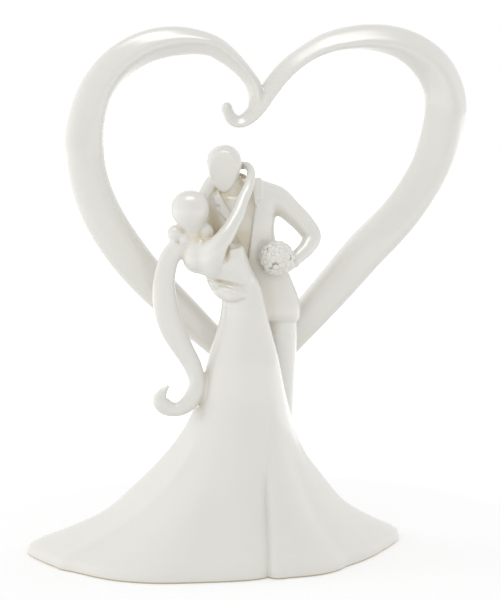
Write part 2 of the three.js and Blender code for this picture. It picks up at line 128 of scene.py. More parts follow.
def egg(anchor, shape, sides=56, rings=40):  # its fullness takes the widest part past the middle
    chin, lean, length, halfWidth, depthShare, fullness = shape
    axis = unit(np.array(lean, float))
    foot = anchor + chin
    deep = unit(back - axis * np.dot(axis, back))
    wide = np.cross(deep, axis)
    turn = np.linspace(0, 2 * np.pi, sides, endpoint=False)
    loops = []
    for angle in np.linspace(0, np.pi, rings + 2)[1:-1]:
        swell = math.sin(angle) * (1 - fullness * math.cos(angle)) * halfWidth
        centre = foot + axis * length * (1 - math.cos(angle)) / 2
        loops.append(centre + np.outer(np.cos(turn), wide) * swell
                     + np.outer(np.sin(turn), deep) * swell * depthShare)
    return skinRings(loops, foot, foot + axis * length)


def ball(anchor, offset, radius):
    return egg(anchor, (np.array(offset) - up * radius, up, 2 * radius, radius, 1.0, 0.0), 32, 20)


def ease(start, end, value):  # 0 before the start, 1 past the end, smooth between
    share = np.clip((value - start) / (end - start), 0, 1)
    return share * share * (3 - 2 * share)


def linear(hexColour):
    channels = [int(hexColour[at:at + 2], 16) / 255 for at in (1, 3, 5)]
    return (*[c / 12.92 if c <= 0.04045 else ((c + 0.055) / 1.055) ** 2.4 for c in channels], 1.0)


def addNode(tree, kind, links=None, values=None, **settings):  # a link from a node leaves its first output
    node = tree.nodes.new(kind)
    for name, value in settings.items():
        setattr(node, name, value)
    for socket, value in (values or {}).items():
        node.inputs[socket].default_value = value
    for socket, source in (links or {}).items():
        output = source.outputs[0] if isinstance(source, bpy.types.Node) else source
        tree.links.new(output, node.inputs[socket])
    return node


def newMaterial(name):
    material = bpy.data.materials.new(name)
    material.use_nodes = True
    material.node_tree.nodes.clear()
    return material, material.node_tree


# Slip-cast porcelain under a clear gloss glaze: warm white clay with a soft sheen, a mirror-like coat over it
# that is softly rippled, and honey-coloured glaze where it pools in the creases, with warm shade painted into
# the same creases
glazeLook = {"clay": "#ecebe5", "cloud": "#e8e6df", "cloudSize": 26.0, "cloudDetail": 2.0,
             "pooledShade": "#d3be8c", "grainSize": 5.0, "grainDetail": 1.0, "grainDepth": 0.012,
             "roughness": 0.3, "ior": 1.5, "coat": 1.0, "coatRoughness": 0.07}
# Bare fired clay on the foot, where the glaze is wiped off: matt, beige, finely gritty
bisqueLook = {**glazeLook, "clay": "#d8cbb0", "cloud": "#c4b391", "cloudSize": 0.8, "cloudDetail": 3.0,
              "grainSize": 0.8, "grainDetail": 3.0, "grainDepth": 0.03, "roughness": 0.75, "coat": 0.0}


def porcelain(name, look):
    material, tree = newMaterial(name)
    place = addNode(tree, "ShaderNodeTexCoord").outputs["Object"]
    cloud = addNode(tree, "ShaderNodeTexNoise", {"Vector": place},
                    {"Scale": 1 / (look["cloudSize"] * mm), "Detail": look["cloudDetail"]})
    body = addNode(tree, "ShaderNodeMix", {"Factor": cloud},
                   {"A": linear(look["clay"]), "B": linear(look["cloud"])}, data_type="RGBA")
    # painted warm shade in the creases, laid over the honey tint of the glaze that pools there
    poolShade = addNode(tree, "ShaderNodeAttribute", attribute_name="glazePoolShade")
    colour = addNode(tree, "ShaderNodeMix", {"Factor": poolShade.outputs["Fac"], "A": body.outputs["Result"]},
                     {"B": linear(look["pooledShade"])}, data_type="RGBA")
    grain = addNode(tree, "ShaderNodeTexNoise", {"Vector": place},
                    {"Scale": 1 / (look["grainSize"] * mm), "Detail": look["grainDetail"]})
    bump = addNode(tree, "ShaderNodeBump", {"Height": grain},
                   {"Strength": 1.0, "Distance": look["grainDepth"] * mm})
    shader = addNode(tree, "ShaderNodeBsdfPrincipled",
                     {"Base Color": colour.outputs["Result"], "Normal": bump, "Coat Normal": bump},
                     {"Roughness": look["roughness"], "IOR": look["ior"], "Coat Weight": look["coat"],
                      "Coat Roughness": look["coatRoughness"], "Coat IOR": look["ior"]})
    addNode(tree, "ShaderNodeOutputMaterial", {"Surface": shader})
    return material


glaze = porcelain("glazed_porcelain", glazeLook)
bisque = porcelain("bisque_porcelain", bisqueLook)
print("materials made")


def toMesh(name, points, faces):
    mesh = bpy.data.meshes.new(name)
    mesh.from_pydata((np.asarray(points) * mm).tolist(), [], faces)
    mesh.shade_smooth()
    return mesh


def addPiece(name, mesh, nodes, materials=(glaze,)):
    piece = bpy.data.objects.new(name, mesh)
    scene.collection.objects.link(piece)
    for material in materials:
        mesh.materials.append(material)
    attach(piece, "root")
    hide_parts(*nodes)
    return piece


def addShape(name, shape, nodes, materials=(glaze,)):
    points, quads, triangles = shape
    return addPiece(name, toMesh(name, points, quads.tolist() + triangles.tolist()), nodes, materials)


def paintPoolShade(mesh, values):  # 1 where the glaze pools deepest and the painted crease shade is darkest
    layer = mesh.attributes.new("glazePoolShade", "FLOAT", "POINT")
    layer.data.foreach_set("value", values.astype(np.float32))


# Gown: hem in plan and flare in height, with pleats that sharpen towards the hem
gown = {
    "hem": [
        (50.3, 13.3), (33, 22.5), (10, 26.5), (-17, 27.5), (-43, 25.5), (-60, 20), (-69.4, 11.6),
        (-65.5, -0.5), (-55.5, -14.1), (-45, -23), (-33, -27.8), (-17, -28.9), (2, -28.4), (18, -26),
        (29, -18), (41, -5)],
    "hemShift": (-1.31, 1.12),  # the hem is drawn round the anchor of the solids' own sketch
    "halfWaist": (6.7, 6.0),
    "flare": [
        (1, 0.8), (1, 1.4), (0.996, 2.2), (0.984, 3.2), (0.955, 4.3), (0.91, 5.6), (0.84, 7.3), (0.62, 13.9),
        (0.45, 23), (0.3, 32.64), (0.19, 42), (0.125, 51.2), (0.07, 64), (0.03, 72), (0.008, 77.4), (0, 80)],
    "swell": 1.7, "swellShare": 0.62,  # fuller towards the groom below the waist
    # columns crowd at the pressed pleat and lean with it
    "columns": 560, "hemPerSpan": 80, "perSpan": 8, "crowding": 5, "crowdSpread": 0.16, "leanSpread": 1.05,
    # rise, half width, where it starts and is full, and its line: shares of the way from waist to hem, with
    # directions in degrees; the first is pressed in, with a long slope on one side of its crease
    "pleats": [
        (-2.1, 0.7, (0.12, 0.5), [(0.16, -51.5), (0.21, -54), (0.32, -60.3), (0.46, -65.6), (0.64, -70.2),
                                  (0.89, -74.9), (1, -77)]),
        (0.5, 3, (0.2, 0.8), [(0.2, -42), (0.46, -57), (0.89, -68.5), (1, -70.5)]),
        (-0.5, 3.5, (0.12, 0.45), [(0.26, -17.3), (0.35, -15), (0.5, -17), (0.67, -19.5), (0.86, -22.6),
                                   (1, -22)]),
        (0.4, 6, (0.1, 0.6), [(0.26, -38), (1, -33)]),
        (0.8, 2.2, (0.12, 0.3), [(0.23, -165), (0.3, -165), (0.45, -169.5), (0.53, -173.5), (0.64, -176.3),
                                 (1, -176.5)]),
        (-0.35, 5, (0.12, 0.4), [(0.23, -148), (0.45, -158), (0.64, -167), (1, -169)]),
        (0.4, 9, (0.1, 0.8), [(0.2, -110), (1, -112)]),
        *((rise, 5, (0.05, 0.6), [(0.2, way), (1, way)])
          for rise, way in ((-0.9, 60), (-0.9, 100), (-0.7, 140))),
    ],
    "pressedSlope": 2.4, "creaseRound": 0.1,
    "wall": 2.8, "floor": 4.2, "hollowTop": 48.4, "hollowShares": (0.3, 0.6, 0.84), "hollowFlare": (7, 12),
    "rimRound": 0.8, "footRing": 4.0, "footRecess": 0.5, "bareRings": 3,
    "recessSteps": [(0, 0), (0.3, 0.4), (1, 1.0)],  # share of the recess, and how far in from the foot ring
    "floorShares": (0.7, 0.45, 0.25), "drain": 5.0, "drainEdge": 0.5,
    "drainLip": [(0.6, 0), (0.15, 0.15), (0, 0.6)],  # out from the hole and up from the recess
    # the bodice leans back from the waist; the skirt's columns carry on into it without a step
    "bodice": [
        (0, 0, 0, 6.7, 6), (-1.1, -0.4, 5.6, 6.1, 5.5), (-3.5, -0.8, 10.4, 6.1, 5.8),
        (-6.2, -1, 14.9, 6.8, 6.3)],
    "corner": [(-1.4, -1.4, 9, 3.3, 4.2), (-3.3, -2.2, 14, 3.5, 4.7), (-3.9, -2.6, 19, 2.8, 4.3)],
    "cornerSection": (48, 2.6), "cornerMelt": 2.4, "skirtMelt": 0.4,
    # the neckline shows beside the arm and is lost to the left of and below these, from the waist
    "necklineX": -7.2, "slipX": (1.5, 3.5), "necklineZ": 14.4, "slipZ": (0.5, 1.2),
    "skirtTop": 77.4, "bodiceFoot": 82.0, "seamHeights": (78.7, 80.2, 80.3),
}
pressedLine = gown["pleats"][0][-1]


def hemLine():  # directions of the skirt's columns at the hem, then the hem's directions and reach
    corners = np.array([(x, y, 0) for x, y in gown["hem"]]) + (*gown["hemShift"], 0)
    fine = throughRows(corners, gown["hemPerSpan"], closed=True)[:, :2] - waist[:2]
    angle = np.arctan2(fine[:, 1], fine[:, 0])
    order = np.argsort(angle)
    angle, radius = angle[order], np.linalg.norm(fine, axis=1)[order]
    angle = np.concatenate((angle, angle[:1] + 2 * np.pi))
    radius = np.concatenate((radius, radius[:1]))
    fromPleat = angle[:-1] - lineAngle(pressedLine, 1)
    density = 1 + gown["crowding"] * np.exp(-(fromPleat / gown["crowdSpread"]) ** 2)
    stride = np.hypot(np.diff(radius), radius[:-1] * np.diff(angle)) * density
    walked = np.concatenate(([0], np.cumsum(stride)))
    columns = np.interp(np.linspace(0, walked[-1], gown["columns"], endpoint=False), walked, angle)
    return columns, angle, radius


def wrapped(angle):
    return np.angle(np.exp(1j * angle))


def lineAngle(line, reach):
    reaches, degrees = zip(*line)
    return math.radians(np.interp(reach, reaches, degrees))


hemColumns, hemAngles, hemRadii = hemLine()


def columnAngles(reach):  # the columns lean with the pressed pleat, so that its crease runs along one of them
    lean = lineAngle(pressedLine, reach) - lineAngle(pressedLine, 1)
    away = wrapped(hemColumns - lineAngle(pressedLine, 1))
    return hemColumns + lean * np.exp(-(away / gown["leanSpread"]) ** 2)


def pleatRise(angle, radius, reach):
    total = np.zeros_like(angle)
    for rise, spread, starts, line in gown["pleats"]:
        away = wrapped(angle - lineAngle(line, reach)) * radius
        if line is pressedLine:  # a long slope down into the crease and a short one out of it
            away = away / np.where(away < 0, gown["pressedSlope"], spread)
            profile = np.exp(gown["creaseRound"] - np.hypot(away, gown["creaseRound"]))
        else:
            profile = np.exp(-((away / spread) ** 2))
        total += rise * ease(*starts, reach) * profile
    return total


def skirtRing(reach, height, grow=0.0, pleated=1.0):
    angle = columnAngles(reach)
    farAngle = (angle - hemAngles[0]) % (2 * np.pi) + hemAngles[0]
    far = np.interp(farAngle, hemAngles, hemRadii)
    out = np.stack([way * (half * (1 - reach) + far * reach)
                    for way, half in zip((np.cos(angle), np.sin(angle)), gown["halfWaist"])], 1)
    length = np.linalg.norm(out, axis=1)
    taller = length + grow + pleated * pleatRise(angle, length, reach)
    below = np.clip((waist[2] - height) / (waist[2] * gown["swellShare"]), 0, 1)
    out = out * (taller / length)[:, None]
    out[:, 0] += gown["swell"] * 4 * below * (1 - below) * np.maximum(np.cos(angle), 0) ** 2
    return np.column_stack((out + waist[:2], np.full(len(out), height)))


def roundRing(radius, height):
    circle = np.stack((np.cos(hemColumns), np.sin(hemColumns)), 1) * radius + waist[:2]
    return np.column_stack((circle, np.full(len(circle), height)))


def gownRings():  # outside of the skirt, then of the bodice, and the middle of the neckline
    levels = throughRows([(reach, height, 0) for reach, height in gown["flare"]], gown["perSpan"])
    skirt = [skirtRing(max(reach, 0), height) for reach, height, _ in levels
             if height <= gown["skirtTop"]]
    bodice, _, neckline = loftRings(waist, gown["bodice"], columnAngles(0))
    return skirt, [ring for ring in bodice if ring[:, 2].mean() >= gown["bodiceFoot"]], neckline


def levelRing(lower, upper, height):  # on the strip between two rings
    share = (height - lower[:, 2]) / (upper[:, 2] - lower[:, 2])
    return lower + (upper - lower) * share[:, None]


def makeSkirt():
    rim, recess, ringIn = gown["rimRound"], gown["footRecess"], gown["footRing"]
    drain, edge = gown["drain"], gown["drainEdge"]
    floor, wall = gown["floor"], gown["wall"]
    outside, bodice, _ = gownRings()
    rimRings = [skirtRing(1, rim * (1 - math.cos(a)), rim * (math.sin(a) - 1))
                for a in np.linspace(0, np.pi / 2, 6)[:-1]]
    under = [skirtRing(1, recess * share, -ringIn - inward) for share, inward in gown["recessSteps"]]
    under += [skirtRing(share, recess, -ringIn * share, share) for share in gown["floorShares"]]
    under += [roundRing(drain + out, recess + rise) for out, rise in gown["drainLip"]]
    under += [roundRing(drain, floor - edge), roundRing(drain + edge, floor)]
    hollow = [skirtRing(share, floor, -wall, share) for share in gown["hollowShares"]]
    flare = gown["flare"][slice(*gown["hollowFlare"])]
    hollow += [skirtRing(reach, height - wall, -wall) for reach, height in flare]
    # from the hollow's ceiling down through the drain hole, round the foot and up to the waist
    rings = hollow[::-1] + under[::-1] + rimRings + outside
    rings += [levelRing(outside[-1], bodice[0], height) for height in gown["seamHeights"]]
    ceiling, top = (np.append(waist[:2], z) for z in (gown["hollowTop"], gown["seamHeights"][-1]))
    skirt = skinRings(rings, ceiling, top)
    mesh = addShape("gown_skirt_glazed", skirt, ["gown_skirt"], (glaze, bisque)).data
    fromFoot = np.arange(len(mesh.polygons)) // gown["columns"] - len(hollow) - len(under)
    mesh.polygons.foreach_set("material_index", (np.abs(fromFoot) <= gown["bareRings"]).astype(np.int32))


makeSkirt()
print("gown skirt made")

# Trouser legs stand behind the gown and end inside it
legs = {
    "sides": 56,
    "left": [
        (4.9, 0.1, 3, 6.1, 5.9), (5, 0.2, -5, 6.1, 5.9), (4.9, 0.2, -18, 5.5, 5.6), (4.5, 0.2, -33, 5.2, 5.4),
        (3.9, 0.2, -58, 5, 5.2)],
    "right": [
        (-5.2, 0.1, 3, 5.4, 5.7), (-5.9, 0.2, -5, 5.4, 5.7), (-6.9, 0.2, -18, 5.2, 5.6),
        (-7.3, 0.2, -33, 5, 5.2), (-7.9, 0.2, -58, 4.8, 5)],
}
legShapes = {side: loft(hip, legs[side], legs["sides"]) for side in ("left", "right")}
for side, shape in legShapes.items():
    addShape(f"trouser_leg_{side}_glazed", shape, [f"trouser_leg_{side}"])
print("trouser legs made")

# Couple and heart are worked like the wet clay they were: each piece becomes a distance field on one grid,
# the fields are melted together with a slip fillet of a given size, and the skin is cut apart again by piece
wetClay = {
    "coarser": 1, "band": 3.0, "sharp": 0.25, "shellDepth": 0.25, "bareLift": 0.004,
    "smoothing": 6, "pulls": (0.5, -0.52), "rounds": 6,
    # glaze pools in creases and warm shade is painted there: how far round a point is looked, how full it is
    # at a pool's edge and at its deepest, and how deep that is below and above the heights between which it
    # grows
    "poolShades": [(1.6, 0.55, 0.8, 0.4, 0.75), (5.0, 0.48, 0.57, 0.15, 0.46)], "poolShadesRise": (8, 24),
}
pieceNames = ["none"]


def newClay(low, high, step):
    step = step * wetClay["coarser"]
    shape = tuple(int(math.ceil((b - a) / step)) for a, b in zip(low, high))
    clay = {"low": np.array(low, float), "step": step, "owner": np.zeros(shape, np.uint8)}
    for layer in ("field", "near", "other"):  # melted skin, nearest piece, nearest shape made elsewhere
        clay[layer] = np.full(shape, wetClay["band"], np.float32)
    return clay


def fieldOf(clay, shape, window=None):  # distances in mm near a closed shape, and the window they fill
    points, quads, triangles = shape
    band = wetClay["band"] / clay["step"]
    index = ((points - clay["low"]) / clay["step"]).astype(np.float32)
    if window is None:
        low = np.clip(np.floor(index.min(0) - band), 0, clay["field"].shape).astype(int)
        high = np.clip(np.ceil(index.max(0) + band) + 1, 0, clay["field"].shape).astype(int)
        window = tuple(slice(a, b) for a, b in zip(low, high))
    levelSet = openvdb.FloatGrid.createLevelSetFromPolygons(
        index, triangles=triangles.astype(np.uint32), quads=quads.astype(np.uint32), halfWidth=band)
    part = np.empty([span.stop - span.start for span in window], np.float32)
    levelSet.copyToArray(part, ijk=tuple(int(span.start) for span in window))
    return part * np.float32(clay["step"]), window


def wholeOf(clay):
    return tuple(slice(0, count) for count in clay["field"].shape)


def placesIn(clay, window):  # x, y and z of a window's grid points, in mm, ready to broadcast
    x, y, z = ((start + clay["step"] * np.arange(span.start, span.stop)).astype(np.float32)
               for start, span in zip(clay["low"], window))
    return x[:, None, None], y[None, :, None], z[None, None, :]


def melt(first, second, radius):  # smooth union
    near = np.maximum(radius - np.abs(first - second), 0)
    return np.minimum(first, second) - near * near / (4 * np.maximum(radius, 1e-6))


def pare(first, second, radius):  # smooth intersection
    return -melt(-first, -second, radius)


def slip(distance, perMm, most):  # radius of a fillet that is sharp up to a line and swells past it
    return np.clip(wetClay["sharp"] + perMm * distance, wetClay["sharp"], most)


def lute(clay, name, part, window, radius):
    if name not in pieceNames:
        pieceNames.append(name)
    clay["field"][window] = melt(clay["field"][window], part, np.float32(radius))
    closer = part < clay["near"][window]
    clay["near"][window][closer] = part[closer]
    clay["owner"][window][closer] = pieceNames.index(name)


def luteShape(clay, name, shape, radius):
    lute(clay, name, *fieldOf(clay, shape), radius)


def luteLimb(clay, name, anchor, limb):
    sides, endRound, radius, rows = limb
    luteShape(clay, name, loft(anchor, rows, sides, ellipse, (0, endRound)), radius)


def luteOther(clay, part, window, radius):  # a neighbour that keeps its own finer skin
    clay["field"][window] = melt(clay["field"][window], part, np.float32(radius))
    clay["other"][window] = np.minimum(clay["other"][window], part)


def lineDistance(line, xs, zs):  # distance from a line in the x-z plane, and the line's third value there
    best = np.full(np.broadcast_shapes(xs.shape, zs.shape), 1e9)
    value = np.zeros(best.shape)
    for a, b in zip(line, line[1:]):
        edge = b - a
        along = np.clip(((xs - a[0]) * edge[0] + (zs - a[1]) * edge[1]) / (edge[:2] @ edge[:2]), 0, 1)
        away = np.hypot(xs - a[0] - along * edge[0], zs - a[1] - along * edge[1])
        value = np.where(away < best, a[2] + along * edge[2], value)
        best = np.minimum(best, away)
    return best, value


def outlineDistance(outline, xs, zs):  # signed distance in the x-z plane, negative inside
    corners = np.array([(x, z, 0) for x, z in (*outline, outline[0])], float)
    away, _ = lineDistance(corners, xs, zs)
    inside = np.zeros(away.shape, bool)
    for a, b in zip(corners, corners[1:]):
        slope = (b[0] - a[0]) / (b[1] - a[1]) if b[1] != a[1] else 0.0
        inside ^= ((a[1] > zs) != (b[1] > zs)) & (xs < a[0] + (zs - a[1]) * slope)
    return np.where(inside, -away, away).astype(np.float32)


def planeDistance(clay, window, point, normal):  # positive on the side that the normal points to
    normal = unit(np.array(normal, float))
    axes = zip(placesIn(clay, window), point, normal)
    return sum((axis - at) * way for axis, at, way in axes).astype(np.float32)


def blurred(values, reach):  # mean over a small box
    for axis in range(3):
        padded = np.pad(values, [(reach + 1, reach) if k == axis else (0, 0) for k in range(3)], mode="edge")
        total = np.moveaxis(np.cumsum(padded, axis=axis, dtype=np.float32), axis, 0)
        values = np.moveaxis((total[2 * reach + 1:] - total[:-2 * reach - 1]) / (2 * reach + 1), 0, axis)
    return values


def neighbourMean(values, edges, degree):
    total = np.zeros_like(values)
    np.add.at(total, edges[:, 0], values[edges[:, 1]])
    np.add.at(total, edges[:, 1], values[edges[:, 0]])
    return total / degree.reshape((-1,) + (1,) * (values.ndim - 1))


def sidesOf(faces):
    return np.vstack([faces[:, [k, (k + 1) % 4]] for k in range(4)])


def seamOf(faces, count):  # edges with a face on one side only
    pairs = sidesOf(faces)
    return pairs[~np.isin(pairs @ (1, count), pairs @ (count, 1))]


def claySkin(clay):  # points in mm, their normals, quads, the piece of each quad, and where glaze pools and warm shade is painted
    grid = openvdb.FloatGrid(wetClay["band"])
    grid.copyFromArray(clay["field"])
    points, quads = grid.convertToQuads(0.0)
    points, quads = np.asarray(points, float), np.asarray(quads, np.int64)
    a, b, c, _ = np.moveaxis(points[quads], 1, 0)
    if np.einsum("ij,ij->", np.cross(b - a, c - a), a) < 0:
        quads = quads[:, ::-1]
    edges = np.unique(np.sort(sidesOf(quads), axis=1), axis=0)
    degree = np.maximum(np.bincount(edges.ravel(), minlength=len(points)), 1).astype(float)
    for step in range(2 * wetClay["smoothing"]):  # out and back in again, so that nothing shrinks
        points = points + (neighbourMean(points, edges, degree) - points) * wetClay["pulls"][step % 2]

    def sample(layer, places):
        index = np.clip(np.rint(places).astype(int), 0, np.array(layer.shape) - 1)
        return layer[index[:, 0], index[:, 1], index[:, 2]]

    normals = np.zeros_like(points)
    a, b, c, d = np.moveaxis(points[quads], 1, 0)
    np.add.at(normals, quads.T, np.cross(c - a, d - b))
    solid = np.clip(0.5 - clay["field"] / (2 * clay["step"]), 0, 1)
    # painted shade: the fuller the clay round a point, the deeper the crease and the warmer and darker its
    # colour
    poolShade = np.zeros(len(points))
    lowPoolShade, highPoolShade = (waist[2] + height for height in wetClay["poolShadesRise"])
    raised = ease(lowPoolShade, highPoolShade, points[:, 2] * clay["step"] + clay["low"][2])
    for reach, starts, full, shareLow, shareHigh in wetClay["poolShades"]:
        near = sample(blurred(solid, max(1, round(reach / clay["step"]))), points).astype(float)
        for _ in range(wetClay["rounds"]):
            near = 0.5 * near + 0.5 * neighbourMean(near, edges, degree)
        poolShade = np.maximum(poolShade, (shareLow + (shareHigh - shareLow) * raised) * ease(starts, full, near))
    nearest = np.minimum(sample(clay["near"], points), sample(clay["other"], points))
    lift = nearest - sample(clay["field"], points)
    middles = points[quads].mean(1)
    owner = sample(clay["owner"], middles).astype(int)
    for _ in range(wetClay["rounds"]):  # stray quads go to the piece that surrounds them
        votes = np.zeros((len(points), len(pieceNames)), np.int32)
        np.add.at(votes, (quads.T, owner), 1)
        owner = votes[quads].sum(1).argmax(1)
    elsewhere = sample(clay["other"], middles) < sample(clay["near"], middles)
    owner[elsewhere & (lift[quads].max(1) < wetClay["bareLift"])] = 0
    for number in sorted(set(owner) - {0}):  # a piece that meets itself at a corner gets the quads there
        starts = np.bincount(seamOf(quads[owner == number], len(points))[:, 0], minlength=len(points))
        owner[(starts > 1)[quads].any(1)] = number
    return points * clay["step"] + clay["low"], unit(normals), quads, owner, poolShade


def cutPieces(clay):  # each is closed by an inner skin and by walls at its seams
    points, normals, quads, owner, poolShade = claySkin(clay)
    for number in sorted(set(owner) - {0}):
        name = pieceNames[number]
        used, faces = np.unique(quads[owner == number], return_inverse=True)
        faces = faces.reshape(-1, 4)
        count = len(used)
        seam = seamOf(faces, count)
        outer, facing = points[used], normals[used]
        inner = outer - facing * wetClay["shellDepth"]
        walls = np.column_stack((seam[:, ::-1], seam + count))
        allFaces = np.vstack((faces, faces[:, ::-1] + count, walls)).tolist()
        mesh = toMesh(f"{name}_glazed", np.vstack((outer, inner)), allFaces)
        # pooled glaze and painted crease shade, on both skins
        paintPoolShade(mesh, np.tile(poolShade[used], 2))
        # light runs on across the seams
        mesh.normals_split_custom_set_from_vertices(np.vstack((facing, -facing)).tolist())
        addPiece(f"{name}_glazed", mesh, [name])
    return len(quads)


# Heart: two bands of squared section that meet at the cusp; the right one runs out into the curl below it
heart = {
    "low": (-62, 8, 44), "high": (76, 27, 170), "step": 0.48, "sides": 96, "perSpan": 10, "power": 3.4,
    "halfDepth": 5.6, "fullWidth": 3.7, "leftRounds": (3, 1.2), "rightRounds": (3, 1.5),
    "footMelt": 1.5, "cuspMelt": 0.5, "meltRise": (8, 25),
    # x and z from the foot, half width, and the twist of the section in degrees
    "left": [
        (0, -1, 3.9, 0), (-6.1, 5.4, 4, 0), (-13.3, 12.2, 4.4, 0), (-22.6, 21.1, 5.3, 0), (-33.1, 31.5, 6, 0),
        (-42.1, 42.8, 6.4, 0), (-48.5, 53.7, 6.4, 0), (-52, 63.8, 6.2, 0), (-53.2, 74.2, 6.05, 0),
        (-51.4, 84.9, 5.8, 8), (-47.9, 92.8, 5.6, 16), (-41.7, 99.8, 5.4, 24), (-33.4, 104.4, 5.1, 32),
        (-24, 106.1, 4.6, 38), (-14, 104.9, 3.5, 42), (-9.5, 102.4, 3.1, 45), (-5.1, 98.6, 2.55, 45),
        (-1.85, 94.9, 2.3, 45), (-0.1, 92, 2.35, 45), (0.6, 88.9, 2.25, 45), (0.45, 86.4, 2, 45),
        (-0.6, 84.4, 1.5, 45)],
    "right": [
        (0, -1, 3.9, 0), (5.9, 5.6, 4.2, 0), (11.7, 12.6, 4.8, 0), (18.3, 20, 5.4, 0), (27.3, 30, 5.9, 0),
        (36.5, 40.4, 6.2, 0), (45.9, 49.9, 6.4, 8), (53.8, 60.5, 6.6, 17), (58.6, 70, 6.8, 26),
        (61.5, 83.7, 6.7, 34), (60.5, 91, 6.4, 40), (57, 97.6, 6, 45), (51.3, 102.8, 5.3, 50),
        (44.7, 105.8, 4.7, 57), (36.7, 107, 4.2, 62), (29.5, 106.6, 3.8, 64), (22.7, 105, 3.4, 65),
        (16.5, 101.9, 3, 65), (11.8, 98.5, 3, 65), (8.2, 94.9, 3, 65), (5, 90.8, 2.9, 65),
        (1.9, 86.2, 2.75, 65), (-1, 82.8, 2.4, 65), (-4.2, 81, 2.1, 65), (-7, 81.8, 2.1, 65),
        (-8.3, 84, 1.95, 65), (-8.5, 85.7, 1.6, 65)],
}


def heartBand(side):
    rows = [(x, 0, z, width, heart["halfDepth"] * min(1, width / heart["fullWidth"]), twist)
            for x, z, width, twist in heart[side]]
    section = heart["power"], heart[f"{side}Rounds"], heart["perSpan"]
    return loft(heartFoot, rows, heart["sides"], *section)


def makeHeart():
    clay = newClay(heart["low"], heart["high"], heart["step"])
    luteShape(clay, "heart_left", heartBand("left"), 0)
    part, window = fieldOf(clay, heartBand("right"))
    low, high = (heartFoot[2] + height for height in heart["meltRise"])
    raised = ease(low, high, placesIn(clay, window)[2])
    radius = heart["footMelt"] * (1 - raised) + heart["cuspMelt"] * raised
    lute(clay, "heart_right", part, window, radius)
    print("heart made:", cutPieces(clay), "quads")


makeHeart()

# Bride: leans back over the groom's arm, both arms round the groom's neck
bride = {
    # limbs: sides, rounding of the end, melt radius, rows
    "chest": (48, 4.4, 0, [
        (-4.8, -1, 12.6, 5.8, 5.7), (-7.4, -0.95, 14.7, 6.4, 6.1), (-10.7, -1, 15.9, 5.6, 5.9),
        (-14.4, -1, 15.8, 4.9, 4.9)]),
    "neck": (48, 0, 2.2, [
        (-13.8, -1, 17.4, 3.4), (-14.8, -1, 20.8, 2.7), (-15.3, -1, 24.2, 2.6), (-15.8, -1.1, 27.4, 2.8)]),
    "leftArm": [
        (-9.6, -3.4, 12, 2.2), (-9.5, -5.2, 15.4, 3.1), (-8.8, -5.9, 18.8, 3.2), (-6.5, -5.9, 22.4, 2.7),
        (-4.2, -4.7, 25.8, 2.2), (-1.9, -2.6, 29.5, 2.05), (-0.3, -0.6, 32.9, 1.8), (1.3, 1.2, 35.7, 1.65),
        (2.8, 4.4, 39.1, 1.4), (3.2, 7.5, 41.2, 1.3), (2.4, 10, 42.25, 1.3), (0.8, 12, 42.25, 1.3),
        (-1.6, 12.8, 41.8, 1.2)],
    "leftArmSection": (40, ellipse, (0, 1.2)),
    # the upper arm folds sharply against the bodice along this line, x and z
    "armCrease": ((-7.4, 14.7), (-6.2, 19.2)), "armSlip": (0.6, 3),
    "rightArm": (40, 1.5, 0.8, [
        (-10.8, 2, 17.8, 2.4), (-10.9, 4.6, 20.9, 2.3), (-12.2, 7, 25.4, 2.2), (-12.2, 7.6, 30.2, 2.1),
        (-10.6, 7.8, 34.6, 2), (-8.6, 8.6, 37.8, 1.9), (-5.6, 11, 39.5, 1.5)]),
    # eggs: chin from the waist, lean, length, half width, share of that in depth, fullness
    "shoulder": ((-11.8, -1, 19.8), (0, 0, 1), 6.2, 2.5, 1.0, 0.0), "shoulderMelt": 0.4,
    "head": ((-14.8, -1, 23.2), (-3, -0.5, 12.8), 13.2, 5.7, 0.95, 0.16), "headMelt": 1.2,
    "knots": {"hair_knot_upper": (-20.8, -0.4, 23.1), "hair_knot_lower": (-17.9, -0.6, 21.4)},
    "knotRadius": 2.6, "knotMelt": 0.6,
    "tail": [
        (-19.8, -0.4, 20, 2.6), (-21.1, -0.2, 17.8, 3), (-22.9, 0, 14.9, 3.05), (-24.4, 0, 8, 3.3),
        (-24.2, 0, 2.5, 3.7), (-23.1, 0, -3, 3.85), (-21.1, 0, -8, 3.7), (-18.5, 0, -13, 3.15),
        (-15.8, 0, -18, 2.8), (-14.6, -0.4, -22.6, 2.5), (-15.2, -0.8, -26, 2.6), (-17.5, -1.1, -29.5, 2.5),
        (-21, -1.3, -31.2, 2.1), (-24.4, -1.3, -30.2, 2.5), (-26, -1.3, -28.1, 2.35),
        (-25.3, -1.3, -25.9, 1.5), (-23.6, -1.3, -23.9, 0.5)],
    "tailHalfDepth": 2.2, "tailFullWidth": 2.0, "tailSection": (48, 2.4, (0, 0.4)),
    "tailMelt": 0.8, "tailOnSkirt": -12, "tailSkirtMelt": 1.8,
}


